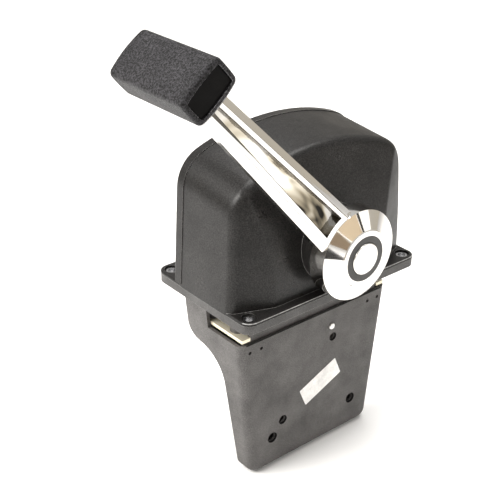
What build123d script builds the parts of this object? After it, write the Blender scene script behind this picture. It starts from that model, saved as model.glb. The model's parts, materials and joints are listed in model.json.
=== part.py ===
import os
from math import asin, atan2, copysign, cos, degrees, pi, radians, sin, sqrt, tan

from build123d import *

os.makedirs("parts", exist_ok=True)

# Top-mount single-lever throttle control for a boat. All lengths are millimetres.
# X runs fore and aft, the lever swings on the -Y side, and +Z is up out of the deck.
# The origin is the middle of the four deck bolts, on the underside of the deck flange.

# Fits and clearances
seat_gap = 0.03  # radial, between round pieces of one body
run_gap = 0.05  # radial, between a turning shaft and its bearing
free_gap = 0.5  # between pieces that pass each other
touch_gap = 0.3  # between flat faces of a turning and a fixed piece

# Deck flange
flange_length = 160.0
flange_width = 101.0
flange_corner = 8.0
frame_thick = 6.3
lip_thick = 2.2
lip_overhang = 0.6
lip_edge_r = 1.2
bolt_edge = 8.0  # from the flange's edge to the middle of a bolt hole
bolt_spacing_x = flange_length - 2 * bolt_edge
bolt_spacing_y = flange_width - 2 * bolt_edge
bolt_hole_r = 2.75
ear_bush_wall = 0.8
ear_bush_head_r = 4.1
ear_bush_head = 0.4
counterbore_r = 5.4
counterbore_depth = 1.6
housing_seat = 1.0  # depth of the recess under the flange that the lower housing fits

# Upper cover, an arched hood with a leaning front
cover_wall = 3.0
cover_half = flange_length / 2 + 0.6
cover_draft = 0.052  # side wall lean, mm inwards for each mm up
cover_crown_z = 112.0
cover_shoulder_z = cover_crown_z - 17.5  # where side wall and crown would meet, at the rear
cover_crown_fall = 6.2  # how much lower the front arch is than the rear one
cover_shoulder_r = 26.0
cover_front_y = 7.0 - flange_width / 2
cover_joint_y = 20.5
front_lean_r = 322.0  # the front face is an arc that leans back as it rises
corner_lean_r = 900.0  # the corner faces stand nearly upright, so they narrow towards the top
front_flat_half = cover_half - 30.6  # beyond this the front face turns back to clear the ears
front_turn = 21.3  # degrees that the corner faces turn back in plan
crease_r = 8.0  # soft edges between the hood's front, corners, sides and crown

# Rear cover
rear_depth = 8.0
rear_step = 0.5  # how far the rear cover stands proud of the hood
rear_edge_r = 2.0
rear_post_r = 4.5
rear_post_length = 14.0
rear_posts = (
    (7.2 - cover_half, 22.0),
    (cover_half - 7.2, 22.0),
    (21.2 - cover_half, cover_crown_z - 17.8),
    (cover_half - 21.2, cover_crown_z - 17.8),
)
rear_screw_r = 1.5
rear_screw_head_r = 3.2
rear_screw_head = 1.9

# Lever shaft and its collar on the hood
shaft_z = 41.0
shaft_r = 6.0
shaft_rear_y = 17.2
collar_r = 27.0
collar_front_y = -53.5
collar_wall = 3.0
collar_reach = 30.0  # how far the collar is hollowed and bored, from its front
collar_tube_r = 12.5
bush_r = 9.0
bush_flange_r = 11.0
bush_flange = 1.2
bush_length = 16.0
seal_inner_r = 17.0
seal_width = 3.0
seal_depth = 0.6
seal_height = 1.4

# Lever, measured along the arm (s) and across it (n) from the hub centre
lever_tilt = 43.2  # degrees from upright towards -X, the pose shown
hub_r = 32.0
hub_back_y = -55.2
hub_cone_y = -67.8
hub_rim_r = 20.0
hub_rim_y = -73.2
hub_face_y = -74.0
hub_moat_r = hub_r + 4.5
arm_front_y = -67.5
arm_back_y = -55.6
arm_side = 1.4  # how far the arm's middle lies to one side of the hub centre
arm_start = 14.0
arm_end = 188.0
arm_start_half = 16.6
arm_end_half = 9.3
arm_flank = 4.8  # width of the sloping flank, from the arm's side to the ridge on its front
arm_flank_depth = 3.2
arm_ridge = 3.2  # width of the flat ridge between flank and channel
arm_edge_r = 0.5
arm_back_chamfer = 3.0
channel_depth = 4.3
channel_start = 26.0
channel_end = arm_end - 5.0
channel_draft = 0.5
tang_width = 14.0
tang_thick = 8.0
tang_length = 13.0

# Grip
grip_length = 68.0
grip_width = 32.8
grip_thick = 20.4
grip_width_crown = 0.4
grip_thick_crown = 1.8
grip_front_y = -80.5
grip_reach = arm_end + 6.5
grip_side = 2.2
grip_turn = 2.2  # degrees that the grip is turned back on the arm
grip_corner_r = 4.0
grip_end_r = 2.5
plug_width = 27.0
plug_height = 14.6
plug_crown = 0.7
plug_recess = 1.0
plug_thick = 3.0
plug_corner_r = 1.5
plug_gap = 0.1
grip_bay_depth = 7.0
grip_screw_r = 2.5
grip_screw_head_r = 4.2
grip_screw_head = 2.6

# Warm-up button in the hub
ring_outer_r = 16.1
ring_inner_r = 11.4
ring_depth = 1.2
button_r = 11.1
button_front_y = -74.9
button_thick = 3.4
button_travel = 4.0
button_rod_r = 3.0
button_rod_end_y = -34.0
button_bay_y = -64.5
spring_wire = 0.8
spring_coil_r = 7.0
spring_turns = 3.0
set_screw_r = 2.5
set_screw_length = 8.0
set_screw_y = -60.0

# Mechanism frame plates and the plate they stand on
plate_thick = 2.5
base_plate_top = -17.5
base_plate_half = flange_length / 2 - 12.2
base_plate_front_y = -30.5
base_plate_rear_y = 24.0
base_notch_half = base_plate_half - 7.2
base_notch_y = -26.5
base_slot_front_y = -24.0
base_slot_rear_y = 9.5
front_plate_y = -18.0
rear_plate_y = 12.0
frame_foot_half = base_plate_half - 13.8
frame_foot_width = 9.0
base_slot_half = frame_foot_half - frame_foot_width - 1.0
frame_arch_z = -10.0
frame_waist_z = 10.0
frame_top_half = frame_foot_half - 14.0
frame_top_z = 56.0
frame_corner_r = 6.0
foot_tab = 11.0
foot_screw_r = 1.6
foot_screw_head_r = 3.0
foot_screw_head = 2.0
pillar_x = frame_top_half - 5.5
pillar_z = 46.0
pillar_r = 3.5
pillar_screw_r = 2.0
pillar_head_r = 3.5
pillar_head = 2.4
hanger_x = base_plate_half - 7.3
hanger_front_y = -17.0
hanger_rear_y = 8.5
hanger_r = 5.5
hanger_screw_r = 2.0
hanger_screw_bite = 14.0
hanger_head_r = 3.8
hanger_head = 2.4
opening_half = frame_foot_half + 0.7
opening_front_y = -19.0
opening_rear_y = 21.0
opening_corner_r = 1.5
arm_bay_half = 34.0
arm_bay_front_y = -26.0

# Gears and sectors
gear_module = 1.25
gear_thick = 5.0
gear_backlash = 0.16
pressure_angle = 20.0
shift_pinion_teeth = 18
shift_sector_teeth = 54
throttle_pinion_teeth = 20
throttle_sector_teeth = 52
gear_centres = gear_module * (shift_pinion_teeth + shift_sector_teeth) / 2
sector_teeth_ahead = 4
sector_teeth_behind = 8
gear_hub_r = 9.5
throttle_gear_y = -13.5
shift_gear_y = -5.5
sector_hub_r = 9.0
sector_rim = 5.0
sector_spoke = 8.0
pivot_x = 22.0
pivot_r = 4.0
pivot_head_r = 5.6
pivot_head = 1.1
pivot_rear_y = 16.4
clip_r = 6.5
clip_thick = 1.0

# Cable arms
arm_plate_y = -22.5
arm_plate_thick = 3.0
shift_arm_length = 75.0
throttle_arm_length = 72.0
cable_arm_hub_r = 8.5
cable_arm_end_r = 6.0
cable_pin_r = 2.5
cable_pin_length = 7.0
cable_pin_shank_r = 2.0
cable_pin_head_r = 3.6
cable_pin_head = 1.0

# Neutral detent
detent_disc_y = 2.5
detent_disc_thick = 4.0
detent_disc_r = 17.0
detent_ball_r = 3.0
detent_ball_gap = 0.1
detent_notch_depth = 1.6
detent_step = 30.0  # degrees from neutral to the forward and reverse notches
detent_block_half = 11.0
detent_block_z = shaft_z + detent_disc_r + 1.0
detent_block_height = 24.0
detent_block_front_y = -1.5
detent_bore_r = 3.1
detent_plug = 6.0
detent_wire = 0.8
detent_coil_r = 2.4
detent_turns = 7.0
detent_screw_x = 7.4
detent_screw_r = 1.5
tower_half = 13.0
tower_top = detent_block_z + detent_block_height + 1.0

# Lower housing, a tapering box under the deck
housing_wall = 2.6
housing_front_y = -31.4
housing_top_z = -21.9
housing_bottom_z = -136.5
housing_top_half = base_plate_half + 5.0
housing_bottom_half = housing_top_half - 14.2
housing_rear_y = 27.5
housing_knee_z = -36.5
housing_throat_y = -8.0
housing_throat_z = -43.5
housing_bottom_rear_y = -16.5
housing_knee_r = 12.0
housing_throat_r = 26.0
housing_edge_r = 6.0
housing_rear_edge_r = 5.0
housing_foot_r = 8.0
window_rear_y = 3.5
hatch_top_z = -62.0
hatch_bottom_z = -84.0
hatch_front_y = -24.0
neck_half = base_notch_half - 0.6
neck_front_y = -29.4
neck_wall = 2.4
neck_overlap = 5.0
pilot_r = 1.3
pilot_z = -29.1
pilot_x = housing_top_half - 11.3
pilot_pitch = 10.2
clamp_hole_r = 3.3
clamp_hole_x = housing_bottom_half - 19.3
clamp_hole_z = housing_bottom_z + 25.6
locating_hole_r = 2.75
locating_hole = (-29.6, clamp_hole_z + 11.5)
rivet_at = (15.3, -37.0)
rivet_r = 1.6
rivet_head_r = 2.6
rivet_head = 1.1
spare_hole_at = (17.2, -46.7)
spare_hole_r = 2.35
pad_r = 4.6
tab_half = 10.0
tab_x = 16.0
tab_bottom_z = -52.0
lug_length = 12.0
lug_width = 9.0
lug_thick = 4.0
lug_root = 3.5  # how much further the rear lugs reach, into the side walls
lug_front_x = (arm_bay_half + opening_half) / 2
lug_front_y = -23.0
lug_rear_x = hanger_x + 1.5
lug_rear_y = 20.6
lug_screw_r = 1.6
lug_screw_head_r = 3.2
lug_screw_head = 2.0

# Worked-out values
flange_top = frame_thick + lip_thick
ear_xs = (-bolt_spacing_x / 2, bolt_spacing_x / 2)
ear_ys = (-bolt_spacing_y / 2, bolt_spacing_y / 2)
ear_bush_r = bolt_hole_r + ear_bush_wall
rear_face_y = cover_joint_y + rear_depth
pivot_z = shaft_z - sqrt(gear_centres**2 - pivot_x**2)
base_plate_bottom = base_plate_top - plate_thick
shift_ratio = shift_pinion_teeth / shift_sector_teeth
throttle_ratio = throttle_pinion_teeth / throttle_sector_teeth
shift_rest = lever_tilt * shift_ratio
throttle_rest = lever_tilt * throttle_ratio
seat_front_y = housing_front_y - touch_gap
seat_rear_y = housing_rear_y + touch_gap
lug_spots = (
    (-lug_front_x, lug_front_y),
    (lug_front_x, lug_front_y),
    (-lug_rear_x, lug_rear_y),
    (lug_rear_x, lug_rear_y),
)


def upright(y):
    """Plane that faces -Y at this y; its axes are X and Z."""
    return Plane.XZ.offset(-y)


def lever_plane(y):
    """Plane that faces -Y with its axes across (n) and along (s) the lever arm."""
    tilt = radians(lever_tilt)
    return Plane(origin=(0, y, shaft_z), x_dir=(cos(tilt), 0, sin(tilt)), z_dir=(0, -1, 0))


def across_lever(s):
    """Plane square to the lever arm at distance s from the hub centre; its axes are n and Y."""
    tilt = radians(lever_tilt)
    along = (-sin(tilt), 0, cos(tilt))
    start = (s * along[0], 0, shaft_z + s * along[2])
    return Plane(origin=start, x_dir=(cos(tilt), 0, sin(tilt)), z_dir=along)


def disc(x, z, y, radius, length, bore=0.0):
    """Round piece with its axis along Y, from y towards +Y."""
    with BuildPart() as made:
        with BuildSketch(upright(y)):
            with Locations((x, z)):
                Circle(radius)
                if bore:
                    Circle(bore, mode=Mode.SUBTRACT)
        extrude(amount=-length)
    return made.part


def post(x, y, z, radius, length, bore=0.0):
    """Round piece with its axis along Z, from z upwards."""
    with BuildPart() as made:
        with BuildSketch(Plane.XY.offset(z)):
            with Locations((x, y)):
                Circle(radius)
                if bore:
                    Circle(bore, mode=Mode.SUBTRACT)
        extrude(amount=length)
    return made.part


def arch(y, crown, inset, foot):
    """Outline of the hood across the boat: leaning sides, round shoulders and a low crown."""
    shoulder = crown - (cover_crown_z - cover_shoulder_z)
    foot_half = cover_half - cover_draft * foot - inset
    top_half = cover_half - cover_draft * shoulder - inset
    with BuildSketch(upright(y)) as outline:
        with BuildLine():
            Polyline(
                (-top_half, shoulder - inset),
                (-foot_half, foot),
                (foot_half, foot),
                (top_half, shoulder - inset),
            )
            ThreePointArc((top_half, shoulder - inset), (0, crown - inset), (-top_half, shoulder - inset))
        make_face()
        fillet(outline.vertices().group_by(Axis.Y)[-1], cover_shoulder_r - inset)
    return outline.sketch


def crown_at(y):
    """Height of the hood's crown, which falls towards the front."""
    return cover_crown_z - cover_crown_fall * (cover_joint_y - y) / (cover_joint_y - cover_front_y)


def hood(inset, foot):
    """The hood's form, inset by a wall; the front and its two corners are trimmed by leaning faces."""
    y_front = cover_front_y - 2.0
    reach = flange_length
    height = cover_crown_z + 20.0
    middle = (height + foot) / 2
    with BuildPart() as form:
        loft([arch(y_front, crown_at(y_front), inset, foot), arch(cover_joint_y, cover_crown_z, inset, foot)])
        for x, turn, lean_r in (
            (0.0, 0.0, front_lean_r),
            (-front_flat_half, front_turn, corner_lean_r),
            (front_flat_half, -front_turn, corner_lean_r),
        ):
            angle = radians(turn)
            inwards = (sin(angle), cos(angle), 0)
            sideways = (cos(angle), -sin(angle), 0)
            profile = [
                (lean_r - sqrt((lean_r - inset) ** 2 - (z - flange_top) ** 2), z)
                for z in (foot, middle, height)
            ]
            with BuildSketch(Plane(origin=(x, cover_front_y, 0), x_dir=inwards, z_dir=sideways)):
                with BuildLine():
                    ThreePointArc(*profile)
                    Polyline(profile[-1], (reach, height), (reach, foot), profile[0])
                make_face()
            extrude(amount=reach, both=True, mode=Mode.INTERSECT)
        creases = []
        for e in form.edges():
            run = (e @ 1) - (e @ 0)
            foremost = min((e @ 0).Y, (e @ 1).Y)
            highest = max((e @ 0).Z, (e @ 1).Z)
            if foremost < cover_joint_y - 1.0 and highest > shaft_z and abs(run.Y) < abs(run.X) + abs(run.Z):
                creases.append(e)
        fillet(creases, crease_r - inset)
    return form.part


def tooth_outline(teeth, root_r, tip_r, base_r, half_angle):
    """One involute tooth pointing along +X, each flank an arc through three points of the involute."""

    def flank_point(radius, side):
        if radius <= base_r:
            roll = 0.0
        else:
            roll = sqrt((radius / base_r) ** 2 - 1)
        angle = half_angle - (roll - atan2(roll, 1.0))
        return (radius * cos(angle), side * radius * sin(angle))

    foot_r = max(base_r, root_r)
    middle_r = (foot_r + tip_r) / 2
    buried = root_r - 0.4
    low = flank_point(foot_r, -1)
    high = flank_point(foot_r, 1)
    angle = atan2(high[1], high[0])
    start = (buried * cos(angle), -buried * sin(angle))
    end = (buried * cos(angle), buried * sin(angle))
    with BuildSketch() as tooth:
        with BuildLine():
            Line(start, low)
            ThreePointArc(low, flank_point(middle_r, -1), flank_point(tip_r, -1))
            ThreePointArc(flank_point(tip_r, -1), (tip_r, 0), flank_point(tip_r, 1))
            ThreePointArc(flank_point(tip_r, 1), flank_point(middle_r, 1), high)
            Line(high, end)
            Line(end, start)
        make_face()
    return tooth.sketch


def gear_sizes(teeth):
    """Pitch, root and tip radii, and one tooth's outline."""
    pitch_r = gear_module * teeth / 2
    base_r = pitch_r * cos(radians(pressure_angle))
    root_r = pitch_r - 1.25 * gear_module
    tip_r = pitch_r + gear_module
    involute = tan(radians(pressure_angle)) - radians(pressure_angle)
    half_angle = pi / (2 * teeth) - gear_backlash / (2 * pitch_r) + involute
    return pitch_r, root_r, tip_r, tooth_outline(teeth, root_r, tip_r, base_r, half_angle)


# Deck frame: the thick lower layer of the flange, with hangers for the mechanism below
with BuildPart() as base_frame:
    with BuildSketch():
        RectangleRounded(flange_length - 0.2, flange_width - 2 * lip_overhang, flange_corner - lip_overhang)
        with Locations((0, (opening_front_y + opening_rear_y) / 2)):
            RectangleRounded(
                2 * opening_half, opening_rear_y - opening_front_y, opening_corner_r, mode=Mode.SUBTRACT
            )
        with Locations((0, arm_bay_front_y / 2)):
            RectangleRounded(2 * arm_bay_half, -arm_bay_front_y, opening_corner_r, mode=Mode.SUBTRACT)
        with GridLocations(bolt_spacing_x, bolt_spacing_y, 2, 2):
            Circle(ear_bush_r + seat_gap, mode=Mode.SUBTRACT)
    extrude(amount=frame_thick)
    with BuildSketch():
        with Locations((0, (seat_front_y + seat_rear_y) / 2)):
            Rectangle(2 * (housing_top_half + touch_gap), seat_rear_y - seat_front_y)
    extrude(amount=housing_seat, mode=Mode.SUBTRACT)
    with BuildSketch(Plane.XY.offset(housing_seat)):
        for y in (hanger_front_y, hanger_rear_y):
            with Locations((-hanger_x, y), (hanger_x, y)):
                Circle(hanger_r)
    extrude(amount=base_plate_top - housing_seat)
    with BuildSketch(Plane.XY.offset(base_plate_top)):
        for y in (hanger_front_y, hanger_rear_y):
            with Locations((-hanger_x, y), (hanger_x, y)):
                Circle(hanger_screw_r + seat_gap)
    extrude(amount=-base_plate_top + frame_thick / 2, mode=Mode.SUBTRACT)
    for x, y in lug_spots:
        add(post(x, y, 0, lug_screw_r + seat_gap, frame_thick * 0.85), mode=Mode.SUBTRACT)
base_frame.part.label = "base_frame"
export_step(base_frame.part, "parts/base_frame.step")

# Hood: flange lip, arched shell, collar for the shaft and posts for the rear cover
outer_form = hood(0.0, frame_thick)
inner_form = hood(cover_wall, -10.0)
with BuildPart() as dome_cover:
    with BuildSketch(Plane.XY.offset(frame_thick)):
        RectangleRounded(flange_length, flange_width, flange_corner)
    extrude(amount=lip_thick)
    lip_edges = dome_cover.edges().group_by(Axis.Z)[-1]
    fillet(lip_edges, lip_edge_r)
    add(outer_form)
    add(disc(0, shaft_z, collar_front_y, collar_r, -collar_front_y - 30.0))
    add(inner_form, mode=Mode.SUBTRACT)
    with BuildSketch(upright(collar_front_y + collar_wall)):
        with Locations((0, shaft_z)):
            Circle(collar_r - collar_wall)
            Circle(collar_tube_r, mode=Mode.SUBTRACT)
    extrude(amount=-collar_reach, mode=Mode.SUBTRACT)
    for x, z in rear_posts:
        add(disc(x, z, cover_joint_y - rear_post_length, rear_post_r, rear_post_length))
        add(
            disc(x, z, cover_joint_y - rear_post_length + 2, rear_screw_r + seat_gap, rear_post_length),
            mode=Mode.SUBTRACT,
        )
    add(disc(0, shaft_z, collar_front_y - 1, bush_r + seat_gap, collar_reach), mode=Mode.SUBTRACT)
    add(
        disc(
            0,
            shaft_z,
            collar_front_y - 1,
            seal_inner_r + seal_width + seat_gap,
            1 + seal_depth,
            seal_inner_r - seat_gap,
        ),
        mode=Mode.SUBTRACT,
    )
    with BuildSketch(Plane.XY.offset(frame_thick)):
        with GridLocations(bolt_spacing_x, bolt_spacing_y, 2, 2):
            Circle(ear_bush_r + seat_gap)
    extrude(amount=lip_thick, mode=Mode.SUBTRACT)
    with BuildSketch(Plane.XY.offset(flange_top)):
        with GridLocations(bolt_spacing_x, bolt_spacing_y, 2, 2):
            Circle(counterbore_r)
    extrude(amount=-counterbore_depth, mode=Mode.SUBTRACT)
dome_cover.part.label = "dome_cover"
export_step(dome_cover.part, "parts/dome_cover.step")

# Metal bushes that line the four bolt holes
with BuildPart() as ear_bushes:
    with BuildSketch():
        with GridLocations(bolt_spacing_x, bolt_spacing_y, 2, 2):
            Circle(ear_bush_r)
            Circle(bolt_hole_r, mode=Mode.SUBTRACT)
    extrude(amount=flange_top - counterbore_depth)
    with BuildSketch(Plane.XY.offset(flange_top - counterbore_depth)):
        with GridLocations(bolt_spacing_x, bolt_spacing_y, 2, 2):
            Circle(ear_bush_head_r)
            Circle(bolt_hole_r, mode=Mode.SUBTRACT)
    extrude(amount=ear_bush_head)
ear_bushes.part.label = "ear_bushes"
export_step(ear_bushes.part, "parts/ear_bushes.step")

# Rear cover: a shallow pan that closes the hood
with BuildPart() as rear_cover:
    extrude(arch(cover_joint_y, cover_crown_z, -rear_step, flange_top), amount=rear_depth, dir=(0, 1, 0))
    fillet(rear_cover.edges().group_by(Axis.Y)[-1].group_by(Axis.Z)[1:], rear_edge_r)
    pan = arch(cover_joint_y, cover_crown_z, cover_wall, flange_top + cover_wall)
    extrude(pan, amount=rear_depth - cover_wall, dir=(0, 1, 0), mode=Mode.SUBTRACT)
    for x, z in rear_posts:
        add(disc(x, z, cover_joint_y, rear_post_r, rear_depth - cover_wall + 0.5))
        add(disc(x, z, cover_joint_y - 1, rear_screw_r + seat_gap, rear_depth + 2), mode=Mode.SUBTRACT)
rear_cover.part.label = "rear_cover"
export_step(rear_cover.part, "parts/rear_cover.step")

with BuildPart() as rear_cover_screws:
    for x, z in rear_posts:
        add(disc(x, z, rear_face_y, rear_screw_head_r, rear_screw_head))
        add(disc(x, z, cover_joint_y - rear_post_length + 4, rear_screw_r, rear_post_length + rear_depth - 4))
rear_cover_screws.part.label = "rear_cover_screws"
export_step(rear_cover_screws.part, "parts/rear_cover_screws.step")

# Bearings for the lever shaft
with BuildPart() as collar_bush:
    add(disc(0, shaft_z, collar_front_y, bush_r, bush_length, shaft_r + run_gap))
    add(disc(0, shaft_z, collar_front_y - bush_flange, bush_flange_r, bush_flange, shaft_r + run_gap))
collar_bush.part.label = "collar_bush"
export_step(collar_bush.part, "parts/collar_bush.step")

with BuildPart() as collar_seal:
    seal_y = collar_front_y + seal_depth - seal_height
    add(disc(0, shaft_z, seal_y, seal_inner_r + seal_width, seal_height, seal_inner_r))
collar_seal.part.label = "collar_seal"
export_step(collar_seal.part, "parts/collar_seal.step")

for name, plate_y, flange_y in (
    ("front_shaft_bush", front_plate_y, front_plate_y - bush_flange),
    ("rear_shaft_bush", rear_plate_y, rear_plate_y - bush_flange),
):
    with BuildPart() as shaft_bush:
        add(disc(0, shaft_z, plate_y, bush_r, plate_thick, shaft_r + run_gap))
        add(disc(0, shaft_z, flange_y, bush_flange_r, bush_flange, shaft_r + run_gap))
    shaft_bush.part.label = name
    export_step(shaft_bush.part, f"parts/{name}.step")

# Zinc-plated base plate of the mechanism, with a tab riveted to the lower housing
with BuildPart() as mounting_plate:
    with BuildSketch(Plane.XY.offset(base_plate_bottom)):
        with BuildLine():
            Polyline(
                (-base_plate_half, base_plate_rear_y),
                (-base_plate_half, base_plate_front_y),
                (-base_notch_half, base_plate_front_y),
                (-base_notch_half, base_notch_y),
                (base_notch_half, base_notch_y),
                (base_notch_half, base_plate_front_y),
                (base_plate_half, base_plate_front_y),
                (base_plate_half, base_plate_rear_y),
                close=True,
            )
        make_face()
        with Locations((0, (base_slot_front_y + base_slot_rear_y) / 2)):
            Rectangle(2 * base_slot_half, base_slot_rear_y - base_slot_front_y, mode=Mode.SUBTRACT)
        for y in (hanger_front_y, hanger_rear_y):
            with Locations((-hanger_x, y), (hanger_x, y)):
                Circle(hanger_screw_r + seat_gap, mode=Mode.SUBTRACT)
        for x in (-frame_foot_half + frame_foot_width / 2, frame_foot_half - frame_foot_width / 2):
            with Locations(
                (x, front_plate_y + plate_thick + foot_tab / 2 + 0.5), (x, rear_plate_y - foot_tab / 2 - 0.5)
            ):
                Circle(foot_screw_r + seat_gap, mode=Mode.SUBTRACT)
    extrude(amount=plate_thick)
    with BuildSketch(upright(base_notch_y)):
        with Locations((tab_x, (base_plate_bottom + tab_bottom_z) / 2)):
            Rectangle(2 * tab_half, base_plate_bottom - tab_bottom_z)
        with Locations(rivet_at):
            Circle(rivet_r + seat_gap, mode=Mode.SUBTRACT)
        with Locations(spare_hole_at):
            Circle(spare_hole_r, mode=Mode.SUBTRACT)
    extrude(amount=-plate_thick)
mounting_plate.part.label = "mounting_plate"
export_step(mounting_plate.part, "parts/mounting_plate.step")

with BuildPart() as plate_screws:
    for x in (-hanger_x, hanger_x):
        for y in (hanger_front_y, hanger_rear_y):
            add(post(x, y, base_plate_bottom - hanger_head, hanger_head_r, hanger_head))
            add(post(x, y, base_plate_bottom, hanger_screw_r, plate_thick + hanger_screw_bite))
plate_screws.part.label = "plate_screws"
export_step(plate_screws.part, "parts/plate_screws.step")


def frame_plate(y, tab_side):
    """Upright plate with feet; tab_side is +1 when the foot tabs run towards +Y."""
    outline = (
        (-frame_foot_half, base_plate_top),
        (-frame_foot_half, frame_waist_z),
        (-frame_top_half, frame_top_z),
        (frame_top_half, frame_top_z),
        (frame_foot_half, frame_waist_z),
        (frame_foot_half, base_plate_top),
        (frame_foot_half - frame_foot_width, base_plate_top),
        (frame_foot_half - frame_foot_width, frame_arch_z),
        (-frame_foot_half + frame_foot_width, frame_arch_z),
        (-frame_foot_half + frame_foot_width, base_plate_top),
    )
    with BuildPart() as plate:
        with BuildSketch(upright(y)) as face:
            with BuildLine():
                Polyline(*outline, close=True)
            make_face()
            if tab_side < 0:
                with Locations((0, (frame_top_z + tower_top) / 2 - 4)):
                    Rectangle(2 * tower_half, tower_top - frame_top_z + 8)
                for x in (-detent_screw_x, detent_screw_x):
                    with Locations((x, detent_block_z + detent_block_height / 2)):
                        Circle(detent_screw_r + seat_gap, mode=Mode.SUBTRACT)
            with Locations((0, shaft_z)):
                Circle(bush_r + seat_gap, mode=Mode.SUBTRACT)
            with Locations((-pivot_x, pivot_z), (pivot_x, pivot_z)):
                Circle(pivot_r + run_gap, mode=Mode.SUBTRACT)
            with Locations((-pillar_x, pillar_z), (pillar_x, pillar_z)):
                Circle(pillar_screw_r + seat_gap, mode=Mode.SUBTRACT)
        extrude(amount=-plate_thick)
        fillet(plate.edges().filter_by(Axis.Y).group_by(Axis.Z)[-1], frame_corner_r / 2)
        edge_y = y + plate_thick if tab_side > 0 else y
        middle_y = edge_y + tab_side * foot_tab / 2
        for x in (-frame_foot_half + frame_foot_width / 2, frame_foot_half - frame_foot_width / 2):
            with BuildSketch(Plane.XY.offset(base_plate_top)):
                with Locations((x, middle_y)):
                    Rectangle(frame_foot_width, foot_tab)
                with Locations((x, middle_y + tab_side * 0.5)):
                    Circle(foot_screw_r + seat_gap, mode=Mode.SUBTRACT)
            extrude(amount=plate_thick)
    return plate.part


front_frame = frame_plate(front_plate_y, 1)
front_frame.label = "front_frame_plate"
export_step(front_frame, "parts/front_frame_plate.step")
rear_frame = frame_plate(rear_plate_y, -1)
rear_frame.label = "rear_frame_plate"
export_step(rear_frame, "parts/rear_frame_plate.step")

with BuildPart() as foot_screws:
    for x in (-frame_foot_half + frame_foot_width / 2, frame_foot_half - frame_foot_width / 2):
        for y in (front_plate_y + plate_thick + foot_tab / 2 + 0.5, rear_plate_y - foot_tab / 2 - 0.5):
            add(post(x, y, base_plate_top + plate_thick, foot_screw_head_r, foot_screw_head))
            add(post(x, y, base_plate_bottom - 1.0, foot_screw_r, 2 * plate_thick + 1.0))
foot_screws.part.label = "foot_screws"
export_step(foot_screws.part, "parts/foot_screws.step")

# Pillars that hold the two frame plates apart, and the long screws through them
pillar_length = rear_plate_y - front_plate_y - plate_thick
with BuildPart() as frame_pillars:
    for x in (-pillar_x, pillar_x):
        pillar_y = front_plate_y + plate_thick
        add(disc(x, pillar_z, pillar_y, pillar_r, pillar_length, pillar_screw_r + seat_gap))
frame_pillars.part.label = "frame_pillars"
export_step(frame_pillars.part, "parts/frame_pillars.step")

with BuildPart() as pillar_screws:
    for x in (-pillar_x, pillar_x):
        add(disc(x, pillar_z, front_plate_y - pillar_head, pillar_head_r, pillar_head))
        add(disc(x, pillar_z, front_plate_y, pillar_screw_r, pillar_length + 2 * plate_thick))
        add(disc(x, pillar_z, rear_plate_y + plate_thick, pillar_head_r, pillar_head))
pillar_screws.part.label = "pillar_screws"
export_step(pillar_screws.part, "parts/pillar_screws.step")


def housing_half(z):
    """Half width of the lower housing at this height."""
    return housing_top_half + (housing_top_half - housing_bottom_half) / -housing_bottom_z * z


def housing_side(inset, top, floor, stepped):
    """Side profile of the lower housing in Y and Z, with the round knee and throat at its rear."""
    lean = (housing_bottom_rear_y - housing_throat_y) / (housing_bottom_z - housing_throat_z)
    floor_y = housing_bottom_rear_y + lean * (floor - housing_bottom_z)
    front = [(floor_y, floor), (housing_front_y, floor)]
    if stepped:
        front += [(housing_front_y, housing_top_z), (window_rear_y, housing_top_z), (window_rear_y, top)]
    else:
        front += [(housing_front_y, top)]
    with BuildSketch(Plane.YZ) as side:
        with BuildLine():
            FilletPolyline(
                (housing_rear_y, top),
                (housing_rear_y, housing_knee_z),
                (housing_throat_y, housing_throat_z),
                (floor_y, floor),
                radius=[housing_knee_r, housing_throat_r],
            )
            Polyline(*front, (housing_rear_y, top))
        make_face()
        if inset:
            offset(amount=-inset, kind=Kind.INTERSECTION)
    return side.sketch


def housing_face(inset, top, floor):
    """Front outline of the lower housing, tapering downwards."""
    top_half = housing_half(top) - inset
    floor_half = housing_half(floor) - inset
    with BuildSketch(upright(housing_front_y - 10)) as face:
        with BuildLine():
            Polyline((-top_half, top), (top_half, top), (floor_half, floor), (-floor_half, floor), close=True)
        make_face()
        if not inset:
            fillet(face.vertices().group_by(Axis.Y)[0], housing_foot_r)
    return face.sketch


housing_past = 12.0  # how far the hollow runs past the housing, so that its ends are open
with BuildPart() as housing_outer:
    outer_side = housing_side(0.0, housing_seat, housing_bottom_z, True)
    extrude(outer_side, amount=housing_top_half + 2, dir=(1, 0, 0), both=True)
    outer_face = housing_face(0.0, housing_seat, housing_bottom_z)
    extrude(outer_face, amount=flange_width, dir=(0, 1, 0), mode=Mode.INTERSECT)
    front_edges = [
        e
        for e in housing_outer.edges()
        if abs(e.center().X) > housing_bottom_half
        and abs(e.center().Y - housing_front_y) < touch_gap
        and e.length > housing_top_half / 2
    ]
    fillet(front_edges, housing_edge_r)
with BuildPart() as housing_inner:
    inner_side = housing_side(housing_wall, housing_past, housing_bottom_z - housing_past, False)
    extrude(inner_side, amount=housing_top_half + 2, dir=(1, 0, 0), both=True)
    inner_face = housing_face(housing_wall, housing_past, housing_bottom_z - housing_past)
    extrude(inner_face, amount=flange_width, dir=(0, 1, 0), mode=Mode.INTERSECT)

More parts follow.
